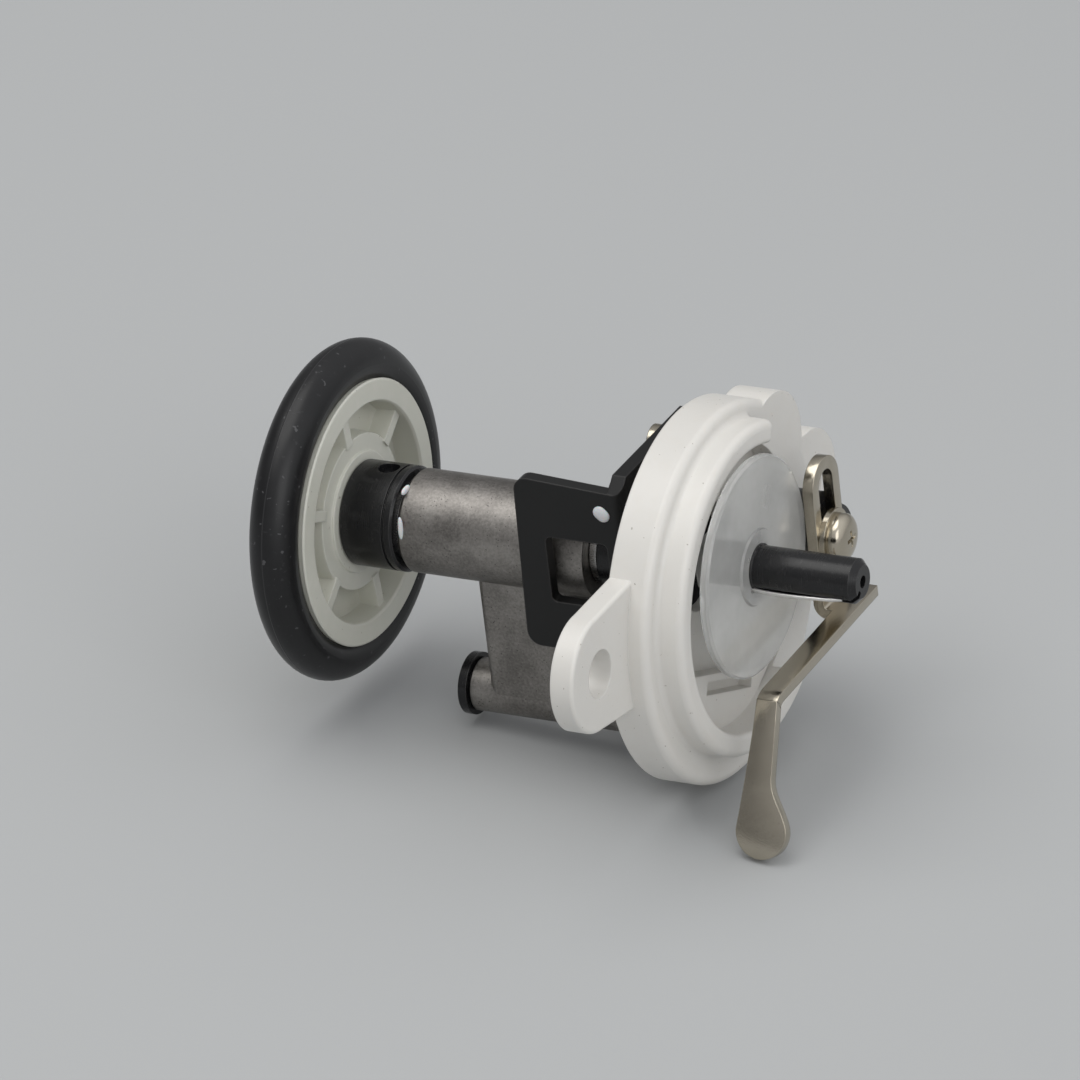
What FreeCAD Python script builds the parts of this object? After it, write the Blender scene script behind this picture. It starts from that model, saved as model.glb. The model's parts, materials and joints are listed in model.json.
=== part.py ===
import FreeCAD, Part
import math
import os
import Sketcher
from FreeCAD import Placement, Rotation, Vector

# Bobbin winder. Millimetres. The spindle axis is the X axis, and the bobbin end points to +X.
# The pieces are drawn with X = 0 at the front face of the wheel hub, then slid along X together, so that
# the origin is the middle of the bobbin's seat. Z is up, and the swing pivot lies below the spindle.

doc = FreeCAD.newDocument("BobbinWinder")

# Driving dimensions

DIMS = [
    # friction wheel
    ("tyre_ring_radius", 19.9),
    ("tyre_section_radius", 3.2),
    ("tyre_plane", -3.5),
    ("hub_radius", 18.1),
    ("hub_rim_inner", 15.0),
    ("hub_back", -6.6),
    ("hub_boss_radius", 8.3),
    ("hub_ring_radius", 10.6),
    ("rib_width", 1.5),
    # spindle
    ("spindle_radius", 3.0),
    ("shaft_radius", 3.2),
    ("nose_rear", 57.9),
    ("seat_middle", 64.8),
    ("spindle_rear", -8.2),
    ("spindle_tip", 72.5),
    ("collar_radius", 7.15),
    ("collar_front", 7.0),
    ("setscrew_radius", 1.5),
    ("sleeve_radius", 5.4),
    ("sleeve_rear", 36.4),
    ("sleeve_front", 46.0),
    ("clip_slot_width", 0.9),
    ("clip_slot_depth", 1.6),
    ("clip_wire_radius", 0.3),
    # clear stop disc
    ("disc_radius", 14.8),
    ("disc_back", 56.5),
    ("disc_front", 57.4),
    ("disc_hub_radius", 4.3),
    ("disc_hub_back", 50.6),
    # swing arm
    ("barrel_radius", 7.0),
    ("barrel_rear", 7.6),
    ("barrel_front", 35.3),
    ("bush_radius", 4.0),
    ("bush_length", 6.0),
    ("running_bore", 3.24),
    ("pivot_drop", 24.0),
    ("pivot_barrel_radius", 3.6),
    ("pivot_barrel_rear", 14.0),
    ("pivot_barrel_front", 36.0),
    ("pivot_pin_radius", 2.5),
    ("pivot_bore", 2.55),
    ("web_half", 3.5),
    ("web_rear", 17.0),
    # bracket
    ("wall_rear", 41.5),
    ("wall_front", 43.5),
    ("flange_outer", -9.2),
    ("flange_inner", -7.4),
    ("flange_rear", 27.2),
    ("flange_top", 14.0),
    ("flange_bottom", -11.0),
    ("window_rear", 31.6),
    ("window_front", 40.6),
    ("window_top", 5.6),
    ("window_bottom", -4.0),
    # base cover
    ("cover_y", 3.0),
    ("cover_z", -6.2),
    ("cover_radius", 25.6),
    ("cover_back", 46.0),
    ("ledge_front", 52.0),
    ("cup_y", 2.4),
    ("cup_z", -4.8),
    ("cup_inner", 19.2),
    ("cup_outer", 22.3),
    ("cup_front", 55.8),
    ("floor_back", 47.0),
    ("floor_front", 49.0),
    ("ear_front", 49.2),
    ("ear_radius", 7.8),
    ("ear_hole", 3.2),
    ("ear_left_y", -30.0),
    ("ear_left_z", -1.0),
    ("ear_right_y", 33.0),
    ("ear_right_z", -6.0),
    # trip lever
    ("lever_y", 22.0),
    ("lever_z", -8.0),
    ("lever_shaft_radius", 3.0),
    ("lever_shaft_rear", 32.0),
    ("crank_rear", 34.0),
    ("crank_front", 37.0),
    ("block_rear", 53.6),
    ("block_front", 57.8),
    ("plate_front", 59.3),
    ("screw_y", 17.8),
    ("screw_z", -4.4),
    ("strip_rear", 60.5),
    ("strip_front", 63.4),
    ("strip_top", -13.3),
    ("sheet", 1.5),
    ("paddle_radius", 3.7),
    ("slot_width", 4.4),
    ("slot_top", 3.2),
    ("slot_bottom", -5.6),
    # springs
    ("spring_wire", 0.4),
    ("spring_mean", 4.1),
    ("spring_pitch", 1.3),
]

sheet = doc.addObject("Spreadsheet::Sheet", "dims")
for row, (alias, number) in enumerate(DIMS, start=1):
    sheet.set("A%d" % row, alias)
    sheet.set("B%d" % row, str(number))
    sheet.setAlias("B%d" % row, alias)
doc.recompute()


# A size carries its value and the expression that gives it, so features stay bound to the sheet.

class Size:
    def __init__(self, text, value):
        self.text = text
        self.value = value

    def __add__(self, other):
        other = as_size(other)
        return Size("(%s + %s)" % (self.text, other.text), self.value + other.value)

    def __sub__(self, other):
        other = as_size(other)
        return Size("(%s - %s)" % (self.text, other.text), self.value - other.value)

    def __mul__(self, other):
        other = as_size(other)
        return Size("(%s * %s)" % (self.text, other.text), self.value * other.value)

    def __neg__(self):
        return Size("(-1 * %s)" % self.text, -self.value)


def as_size(item):
    if isinstance(item, Size):
        return item
    return Size("(%.6f)" % item, float(item))


def d(alias):
    return Size("dims." + alias, dict(DIMS)[alias])


def bind(thing, prop, size):
    thing.setExpression(prop, as_size(size).text)


# Sketch helpers

def new_body(label):
    body = doc.addObject("PartDesign::Body", label)
    body.Label = label
    return body


def origin_plane(body, role):
    for feature in body.Origin.OriginFeatures:
        if feature.Role == role:
            return feature
    return None


def new_sketch(body, name, role, offset=0.0):
    sketch = body.newObject("Sketcher::SketchObject", name)
    sketch.AttachmentSupport = [(origin_plane(body, role), "")]
    sketch.MapMode = "FlatFace"
    offset = as_size(offset)
    sketch.AttachmentOffset = Placement(Vector(0, 0, offset.value), Rotation())
    sketch.setExpression(".AttachmentOffset.Base.z", offset.text)
    return sketch


def across(body, name, x_place):
    # A sketch square to the spindle: its axes are Y and Z, and its normal is X.
    return new_sketch(body, name, "YZ_Plane", x_place)


def pin_point(sketch, geo, pos, horizontal, vertical):
    horizontal = as_size(horizontal)
    vertical = as_size(vertical)
    for kind, axis_id, size in (("DistanceX", -2, horizontal), ("DistanceY", -1, vertical)):
        if abs(size.value) < 1e-9:
            sketch.addConstraint(Sketcher.Constraint("PointOnObject", geo, pos, axis_id))
            continue
        index = sketch.addConstraint(Sketcher.Constraint(kind, -1, 1, geo, pos, size.value))
        if "dims." in size.text:
            sketch.setExpression("Constraints[%d]" % index, size.text)


def add_circle(sketch, horizontal, vertical, radius):
    horizontal = as_size(horizontal)
    vertical = as_size(vertical)
    radius = as_size(radius)
    centre = Vector(horizontal.value, vertical.value, 0)
    geo = sketch.addGeometry(Part.Circle(centre, Vector(0, 0, 1), radius.value), False)
    if abs(horizontal.value) < 1e-9 and abs(vertical.value) < 1e-9:
        sketch.addConstraint(Sketcher.Constraint("Coincident", geo, 3, -1, 1))
    else:
        pin_point(sketch, geo, 3, horizontal, vertical)
    index = sketch.addConstraint(Sketcher.Constraint("Radius", geo, radius.value))
    sketch.setExpression("Constraints[%d]" % index, radius.text)


def add_polygon(sketch, points):
    points = [(as_size(h), as_size(v)) for h, v in points]
    first = sketch.GeometryCount
    count = len(points)
    for i in range(count):
        h0, v0 = points[i]
        h1, v1 = points[(i + 1) % count]
        start = Vector(h0.value, v0.value, 0)
        end = Vector(h1.value, v1.value, 0)
        sketch.addGeometry(Part.LineSegment(start, end), False)
    for i in range(count):
        here = first + i
        following = first + (i + 1) % count
        sketch.addConstraint(Sketcher.Constraint("Coincident", here, 2, following, 1))
    for i in range(count):
        pin_point(sketch, first + i, 1, points[i][0], points[i][1])


def add_box(sketch, low_h, high_h, low_v, high_v):
    add_polygon(sketch, [(low_h, low_v), (high_h, low_v), (high_h, high_v), (low_h, high_v)])


# Feature helpers

def pad(body, sketch, length):
    feature = body.newObject("PartDesign::Pad", sketch.Name + "_pad")
    feature.Profile = sketch
    feature.Length = as_size(length).value
    bind(feature, "Length", length)
    doc.recompute()
    return feature


def pocket(body, sketch, length, backward=True):
    # A backward pocket cuts towards -X from its sketch.
    feature = body.newObject("PartDesign::Pocket", sketch.Name + "_pocket")
    feature.Profile = sketch
    feature.Length = as_size(length).value
    bind(feature, "Length", length)
    feature.Reversed = not backward
    doc.recompute()
    return feature


def turned(body, name, profile):
    # A turned piece: the profile's points are (x, radius), and it spins about the spindle axis.
    sketch = new_sketch(body, name, "XY_Plane")
    add_polygon(sketch, profile)
    feature = body.newObject("PartDesign::Revolution", name + "_turned")
    feature.Profile = sketch
    feature.ReferenceAxis = (sketch, ["H_Axis"])
    feature.Angle = 360
    doc.recompute()
    return feature


def ring_groove(body, name, x_place, ring_radius, section_radius):
    # Cuts a round-bottomed ring groove about the spindle axis.
    sketch = new_sketch(body, name, "XY_Plane")
    add_circle(sketch, x_place, ring_radius, section_radius)
    feature = body.newObject("PartDesign::Groove", name + "_groove")
    feature.Profile = sketch
    feature.ReferenceAxis = (sketch, ["H_Axis"])
    feature.Angle = 360
    doc.recompute()
    return feature


def pad_round(body, name, rear, front, y_place, z_place, radius):
    sketch = across(body, name, rear)
    add_circle(sketch, y_place, z_place, radius)
    return pad(body, sketch, front - rear if isinstance(front, Size) else as_size(front) - rear)


def bore_round(body, name, rear, front, y_place, z_place, radius):
    sketch = across(body, name, front)
    add_circle(sketch, y_place, z_place, radius)
    return pocket(body, sketch, as_size(front) - rear)


def tube(label, rear, front, outer, inner, y_place=0.0, z_place=0.0):
    # A plain ring, bush or washer lying along X.
    body = new_body(label)
    sketch = across(body, label + "_section", rear)
    add_circle(sketch, y_place, z_place, outer)
    add_circle(sketch, y_place, z_place, inner)
    pad(body, sketch, as_size(front) - rear)
    return body


def round_edges(body, name, radius, chosen, kind="PartDesign::Fillet"):
    # Rounds or chamfers the edges of the body's tip that the rule picks.
    base = body.Tip
    names = []
    for index, edge in enumerate(base.Shape.Edges, start=1):
        if chosen(edge):
            names.append("Edge%d" % index)
    feature = body.newObject(kind, name)
    feature.Base = (base, names)
    if kind == "PartDesign::Fillet":
        feature.Radius = radius
    else:
        feature.Size = radius
    doc.recompute()
    if not feature.isValid():
        print("edge feature failed:", name, len(names), "edges")
    return feature


def circle_rule(x_place, radius, y_place=0.0, z_place=0.0):
    # Picks round edges of one radius in one plane square to X.
    def rule(edge):
        curve = edge.Curve
        if not hasattr(curve, "Radius") or not hasattr(curve, "Center"):
            return False
        centre = curve.Center
        near = abs(curve.Radius - radius) < 0.01 and abs(centre.x - x_place) < 0.01
        return near and math.hypot(centre.y - y_place, centre.z - z_place) < 0.01
    return rule


# Friction wheel

def make_tyre():
    body = new_body("tyre")
    sketch = new_sketch(body, "tyre_section", "XY_Plane")
    add_circle(sketch, d("tyre_plane"), d("tyre_ring_radius"), d("tyre_section_radius"))
    feature = body.newObject("PartDesign::Revolution", "tyre_turned")
    feature.Profile = sketch
    feature.ReferenceAxis = (sketch, ["H_Axis"])
    feature.Angle = 360
    doc.recompute()


RIB_COUNT = 6
RIB_TURN = 54.0


def make_wheel_hub():
    body = new_body("wheel_hub")
    web_back = d("tyre_plane") - 1.9
    web_front = d("tyre_plane") - 0.4
    turned(body, "hub_profile", [
        (d("hub_back"), d("shaft_radius") + 0.01),
        (d("hub_back"), d("hub_boss_radius")),
        (web_back, d("hub_boss_radius")),
        (web_back, d("hub_rim_inner")),
        (d("hub_back"), d("hub_rim_inner")),
        (d("hub_back"), d("hub_radius") - 0.4),
        (as_size(-0.5), d("hub_radius") - 0.1),
        (as_size(-0.2), d("hub_radius")),
        (as_size(0.0), d("hub_radius") - 0.2),
        (as_size(0.0), d("hub_rim_inner") + 0.2),
        (as_size(-0.3), d("hub_rim_inner")),
        (web_front, d("hub_rim_inner") - 0.2),
        (web_front, d("hub_ring_radius") + 0.2),
        (as_size(-1.3), d("hub_ring_radius")),
        (as_size(-1.3), d("hub_boss_radius")),
        (as_size(-0.9), d("hub_boss_radius") - 0.1),
        (as_size(-0.9), d("shaft_radius") + 0.01),
    ])
    ring_groove(body, "tyre_seat", d("tyre_plane"), d("tyre_ring_radius"), d("tyre_section_radius") + 0.01)
    # Ribs join the middle ring to the rim.
    sketch = across(body, "rib", web_front - 0.2)
    add_box(sketch, d("hub_ring_radius") - 0.4, d("hub_rim_inner") + 0.4,
            -d("rib_width") * 0.5, d("rib_width") * 0.5)
    rib = pad(body, sketch, as_size(-1.0) - (web_front - 0.2))
    pattern = body.newObject("PartDesign::PolarPattern", "ribs")
    pattern.Originals = [rib]
    pattern.Axis = (sketch, ["N_Axis"])
    pattern.Angle = 360
    pattern.Occurrences = RIB_COUNT
    body.Tip = pattern
    body.Placement = Placement(Vector(0, 0, 0), Rotation(Vector(1, 0, 0), 90.0 - RIB_TURN))
    doc.recompute()


# Spindle and what turns with it

CLIP_SIDE = Vector(0, -0.76, -0.65)


def clip_turn():
    # The turn about X that brings +Y to the side where the wire clip lies.
    return math.degrees(math.atan2(CLIP_SIDE.z, CLIP_SIDE.y))


def make_spindle():
    body = new_body("spindle")
    tip = d("spindle_tip")
    radius = d("spindle_radius")
    turned(body, "spindle_profile", [
        (d("spindle_rear"), as_size(0)),
        (d("spindle_rear"), d("shaft_radius") - 0.5),
        (d("spindle_rear") + 0.5, d("shaft_radius")),
        (d("nose_rear"), d("shaft_radius")),
        (d("nose_rear"), radius),
        (tip - 0.8, radius),
        (tip, radius - 0.8),
        (tip, as_size(0)),
    ])
    # A centre mark in the tip.
    bore_round(body, "centre_mark", tip - 1.2, tip, 0, 0, 0.85)
    # A lengthwise slot holds the wire clip.
    sketch = across(body, "clip_slot", tip + 0.1)
    half = d("clip_slot_width") * 0.5
    add_box(sketch, radius - d("clip_slot_depth"), radius + 1.0, -half, half)
    pocket(body, sketch, tip + 0.1 - d("disc_hub_back"))
    body.Placement = Placement(Vector(0, 0, 0), Rotation(Vector(1, 0, 0), clip_turn()))
    doc.recompute()


def make_drive_collar():
    body = new_body("drive_collar")
    outer = d("collar_radius")
    front = d("collar_front")
    bore = d("shaft_radius") + 0.01
    turned(body, "collar_profile", [
        (as_size(-0.9), bore),
        (as_size(-0.9), outer - 0.3),
        (as_size(-0.6), outer),
        (front - 1.5, outer),
        (front - 1.5, outer - 0.35),
        (front - 1.1, outer - 0.35),
        (front - 1.1, outer),
        (front - 0.3, outer),
        (front, outer - 0.3),
        (front, bore),
    ])
    # The tapped hole of the set screw runs in from one side.
    sketch = new_sketch(body, "setscrew_hole", "XY_Plane", outer + 1.0)
    add_circle(sketch, as_size(3.7), as_size(0), d("setscrew_radius"))
    pocket(body, sketch, outer + 1.0 - 2.0)
    body.Placement = Placement(Vector(0, 0, 0), Rotation(Vector(1, 0, 0), -3.0))
    doc.recompute()


def make_set_screw():
    # A socket set screw that ends below the collar's surface.
    body = new_body("set_screw")
    radius = d("setscrew_radius")
    sketch = new_sketch(body, "setscrew_round", "XY_Plane", d("shaft_radius") + 0.01)
    add_circle(sketch, as_size(3.7), as_size(0), radius - 0.01)
    pad(body, sketch, as_size(2.8))
    socket = new_sketch(body, "setscrew_socket", "XY_Plane", d("shaft_radius") + 2.9)
    corners = []
    for i in range(6):
        turn = math.radians(60 * i)
        corners.append((as_size(3.7 + 0.85 * math.cos(turn)), as_size(0.85 * math.sin(turn))))
    add_polygon(socket, corners)
    pocket(body, socket, as_size(1.4))
    body.Placement = Placement(Vector(0, 0, 0), Rotation(Vector(1, 0, 0), -3.0))
    doc.recompute()


def make_spindle_sleeve():
    body = new_body("spindle_sleeve")
    outer = d("sleeve_radius")
    turned(body, "sleeve_profile", [
        (d("sleeve_rear"), d("shaft_radius") + 0.01),
        (d("sleeve_rear"), outer - 0.3),
        (d("sleeve_rear") + 0.3, outer),
        (d("sleeve_front") - 0.3, outer),
        (d("sleeve_front"), outer - 0.3),
        (d("sleeve_front"), d("shaft_radius") + 0.01),
    ])


def make_stop_disc():
    body = new_body("stop_disc")
    bore = d("shaft_radius") + 0.01
    back = d("disc_back")
    front = d("disc_front")
    outer = d("disc_radius")
    turned(body, "disc_profile", [
        (d("disc_hub_back"), bore),
        (d("disc_hub_back"), d("disc_hub_radius")),
        (back - 0.6, d("disc_hub_radius")),
        (back, d("disc_hub_radius") + 0.6),
        (back, outer - 1.2),
        (back - 0.3, outer - 0.9),
        (back - 0.3, outer - 0.2),
        (back, outer),
        (front - 0.3, outer),
        (front, outer - 0.3),
        (front, as_size(5.2)),
        (front + 0.3, as_size(5.0)),
        (front + 0.3, bore),
    ])
    # A keyway lets the wire clip pass under the hub.
    sketch = across(body, "clip_way", front + 1.0)
    half = d("clip_slot_width") * 0.5
    add_box(sketch, bore - 0.5, bore + 0.5, -half, half)
    pocket(body, sketch, front + 1.0 - (front - 1.6))
    body.Placement = Placement(Vector(0, 0, 0), Rotation(Vector(1, 0, 0), clip_turn()))
    doc.recompute()


def make_thread_clip():
    # A spring wire lies in the spindle's slot, stands a little proud of it and dips in again at the tip.
    radius = d("clip_wire_radius").value
    surface = d("spindle_radius").value
    front = d("disc_front").value
    route = [(front - 1.2, surface - 0.75), (front + 1.0, surface - 0.25), (front + 5.5, surface - 0.12),
             (front + 9.0, surface - 0.12), (front + 12.0, surface - 0.45), (front + 13.6, surface - 1.15)]
    points = [Vector(x, r, 0) for x, r in route]
    curve = Part.BSplineCurve()
    curve.interpolate(points)
    spine = Part.Wire([curve.toShape()])
    start_way = curve.tangent(curve.FirstParameter)[0]
    section = Part.Wire([Part.makeCircle(radius, points[0], start_way)])
    solid = spine.makePipeShell([section], True, True)
    clip = doc.addObject("Part::Feature", "thread_clip")
    clip.Label = "thread_clip"
    clip.Shape = solid
    clip.Placement = Placement(Vector(0, 0, 0), Rotation(Vector(1, 0, 0), clip_turn()))
    doc.recompute()


# Swing arm

def make_spindle_housing():
    body = new_body("spindle_housing")
    drop = -d("pivot_drop")
    outer = d("barrel_radius")
    pad_round(body, "barrel", d("barrel_rear"), d("barrel_front"), 0, 0, outer)
    pad_round(body, "pivot_barrel", d("pivot_barrel_rear"), d("pivot_barrel_front"), 0, drop,
              d("pivot_barrel_radius"))
    # The web ties the two barrels together.
    sketch = new_sketch(body, "web", "XZ_Plane", -d("web_half"))
    add_polygon(sketch, [
        (d("web_rear"), drop),
        (d("web_rear"), -outer + 3.0),
        (d("barrel_front"), -outer + 3.0),
        (d("barrel_front"), drop),
    ])
    pad(body, sketch, d("web_half") * 2.0)
    # A trip finger stands off the far side of the web.
    finger = across(body, "trip_finger", as_size(32.0))
    add_box(finger, d("web_half") - 0.5, as_size(7.2), as_size(-16.0), as_size(-11.6))
    pad(body, finger, as_size(5.0))
    bore_round(body, "spindle_bore", d("barrel_rear") - 1, d("barrel_front") + 1, 0, 0, d("bush_radius"))
    bore_round(body, "pivot_bore_cut", d("pivot_barrel_rear") - 1, d("pivot_barrel_front") + 1, 0, drop,
               d("pivot_bore"))
    rear = d("barrel_rear").value
    round_edges(body, "barrel_rear_chamfer", 0.6, circle_rule(rear, outer.value), "PartDesign::Chamfer")
    web_rear = d("web_rear").value
    half = d("web_half").value
    round_edges(body, "web_corner_rounding", 1.2,
                lambda e: abs(e.BoundBox.XMin - web_rear) < 0.01 and e.BoundBox.XLength < 0.01
                and abs(abs(e.BoundBox.YMin) - half) < 0.01 and e.BoundBox.YLength < 0.01)


# Fixed parts

def bracket_outline():
    low = -d("pivot_drop") - 4.5
    return [
        (d("flange_outer"), low + 4.0),
        (as_size(-3.6), low),
        (as_size(9.6), low),
        (as_size(22.6), as_size(-19.0)),
        (as_size(26.6), as_size(-11.4)),
        (as_size(26.9), as_size(-4.6)),
        (as_size(13.0), as_size(15.0)),
        (d("flange_outer") + 2.0, as_size(15.0)),
        (d("flange_outer"), as_size(13.0)),
    ]


BOSS_PLACES = [(8.0, 11.9), (-5.9, -18.5), (14.5, -20.0)]
BOSS_RADIUS = 2.9
SCREW_RADIUS = 1.25


def make_bracket():
    body = new_body("bracket")
    wall = across(body, "wall", d("wall_rear"))
    add_polygon(wall, bracket_outline())
    pad(body, wall, d("wall_front") - d("wall_rear"))
    # The side flange is bent back along the barrel and has a window.
    flange = new_sketch(body, "flange", "XZ_Plane", -d("flange_inner"))
    add_polygon(flange, [
        (d("flange_rear"), d("flange_bottom")),
        (d("wall_front"), d("flange_bottom")),
        (d("wall_front"), as_size(13.0)),
        (d("flange_rear") + 0.6, d("flange_top")),
    ])
    pad(body, flange, d("flange_inner") - d("flange_outer"))
    window = new_sketch(body, "window", "XZ_Plane", -d("flange_outer") + 1.0)
    add_box(window, d("window_rear"), d("window_front"), d("window_bottom"), d("window_top"))
    pocket(body, window, as_size(4.0))
    # Spindle opening, long enough for the swing.
    opening = across(body, "spindle_opening", d("wall_front") + 1.0)
    add_circle(opening, as_size(1.0), as_size(0.0), as_size(7.6))
    pocket(body, opening, as_size(4.0))
    bore_round(body, "pivot_hole", d("wall_rear") - 1, d("wall_front") + 1, 0, -d("pivot_drop"),
               d("pivot_pin_radius") - 0.49)
    bore_round(body, "lever_hole", d("wall_rear") - 1, d("wall_front") + 1, d("lever_y"), d("lever_z"),
               as_size(4.0))
    holes = across(body, "screw_holes", d("wall_front") + 1.0)
    for y_place, z_place in BOSS_PLACES:
        add_circle(holes, as_size(y_place), as_size(z_place), as_size(SCREW_RADIUS + 0.3))
    pocket(body, holes, as_size(4.0))
    outer = d("flange_outer").value
    front = d("wall_front").value
    round_edges(body, "bend_rounding", 1.5,
                lambda e: abs(e.BoundBox.YMin - outer) < 0.01 and e.BoundBox.YLength < 0.01
                and abs(e.BoundBox.XMin - front) < 0.01 and e.BoundBox.XLength < 0.01
                and e.BoundBox.ZLength > 10)
    rear = d("flange_rear").value
    round_edges(body, "flange_corners", 2.0,
                lambda e: e.BoundBox.XMax < rear + 1.0 and e.BoundBox.XLength < 0.01
                and e.BoundBox.ZLength < 0.01)
    sides = (d("window_rear").value, d("window_front").value)
    round_edges(body, "window_corners", 0.8,
                lambda e: min(abs(e.BoundBox.XMin - side) for side in sides) < 0.01
                and e.BoundBox.XLength < 0.01 and e.BoundBox.ZLength < 0.01
                and e.BoundBox.YMax < d("flange_inner").value + 0.01)


def make_pivot_pin():
    body = new_body("pivot_pin")
    drop = -d("pivot_drop")
    pad_round(body, "pin_round", as_size(12.0), d("wall_rear"), 0, drop, d("pivot_pin_radius"))
    pad_round(body, "pin_tail", d("wall_rear"), d("wall_front") + 0.6, 0, drop, d("pivot_pin_radius") - 0.5)
    round_edges(body, "pin_chamfer", 0.4, circle_rule(12.0, d("pivot_pin_radius").value, 0.0,
                -d("pivot_drop").value), "PartDesign::Chamfer")
    groove = across(body, "clip_groove", as_size(13.8))
    add_circle(groove, 0, drop, d("pivot_pin_radius") + 0.5)
    add_circle(groove, 0, drop, d("pivot_pin_radius") - 0.4)
    pocket(body, groove, as_size(1.3))


def make_pivot_clip():
    tube("pivot_clip", as_size(12.5), as_size(13.7), as_size(4.25), d("pivot_pin_radius") - 0.38, 0,
         -d("pivot_drop"))


def make_lever_bush():
    body = new_body("lever_bush")
    y_place = d("lever_y")
    z_place = d("lever_z")
    bore = d("lever_shaft_radius") + 0.04
    for name, rear, front, outer in (("bush_flange", d("wall_front"), d("wall_front") + 0.9, as_size(4.8)),
                                     ("bush_neck", d("wall_rear"), d("wall_front"), as_size(3.98))):
        sketch = across(body, name, rear)
        add_circle(sketch, y_place, z_place, outer)
        add_circle(sketch, y_place, z_place, bore)
        pad(body, sketch, front - rear)


def make_stop_stud():
    body = new_body("stop_stud")
    pad_round(body, "stud_foot", as_size(39.3), d("wall_rear"), as_size(-1.6), as_size(9.2), as_size(2.8))
    pad_round(body, "stud_head", as_size(38.4), as_size(39.3), as_size(-1.6), as_size(9.2), as_size(2.0))


def make_cover_screws():
    # Pan heads on the bracket's back, threads in the cover's bosses.
    body = new_body("cover_screws")
    heads = across(body, "screw_heads", d("wall_rear") - 1.7)
    for y_place, z_place in BOSS_PLACES:
        add_circle(heads, as_size(y_place), as_size(z_place), as_size(2.5))
    feature = pad(body, heads, as_size(1.7))
    feature.AllowMultiFace = True
    shanks = across(body, "screw_shanks", d("wall_rear") - 0.5)
    for y_place, z_place in BOSS_PLACES:
        add_circle(shanks, as_size(y_place), as_size(z_place), as_size(SCREW_RADIUS))
    pad(body, shanks, as_size(6.5))
    slots = across(body, "screw_slots", d("wall_rear") - 1.0)
    for y_place, z_place in BOSS_PLACES:
        add_box(slots, as_size(y_place - 3), as_size(y_place + 3), as_size(z_place - 0.35),
                as_size(z_place + 0.35))
    pocket(body, slots, as_size(1.0))


# Base cover

def ear_pad(body, name, y_place, z_place, toward_y, toward_z):
    # A flat ear: a round end and a straight neck that runs into the skirt.
    rear = d("cover_back")
    front = d("ear_front")
    radius = d("ear_radius")
    pad_round(body, name + "_end", rear, front, y_place, z_place, radius)
    run_y = toward_y.value - y_place.value
    run_z = toward_z.value - z_place.value
    length = math.hypot(run_y, run_z)
    side_y = -run_z / length
    side_z = run_y / length
    neck = across(body, name + "_neck", rear)
    add_polygon(neck, [
        (y_place + radius * side_y, z_place + radius * side_z),
        (toward_y + (radius + 2.0) * side_y, toward_z + (radius + 2.0) * side_z),
        (toward_y - (radius + 2.0) * side_y, toward_z - (radius + 2.0) * side_z),
        (y_place - radius * side_y, z_place - radius * side_z),
    ])
    pad(body, neck, front - rear)


def round_cover(body):
    # Moulded edges: the skirt's rim, the wall's foot and lip, and the ears.
    ledge = d("ledge_front").value
    lip = d("cup_front").value
    cover = (d("cover_y").value, d("cover_z").value)
    cup = (d("cup_y").value, d("cup_z").value)
    round_edges(body, "lip_outer", 1.1, circle_rule(lip, d("cup_outer").value, *cup))
    round_edges(body, "lip_inner", 0.7, circle_rule(lip, d("cup_inner").value, *cup))
    round_edges(body, "skirt_rim", 1.2, circle_rule(ledge, d("cover_radius").value, *cover))
    round_edges(body, "wall_foot", 0.8, circle_rule(ledge, d("cup_outer").value, *cup))
    front = d("ear_front").value
    place = (d("ear_left_y").value, d("ear_left_z").value)
    round_edges(body, "ear_left_edge", 0.5, circle_rule(front, d("ear_radius").value, *place))


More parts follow.
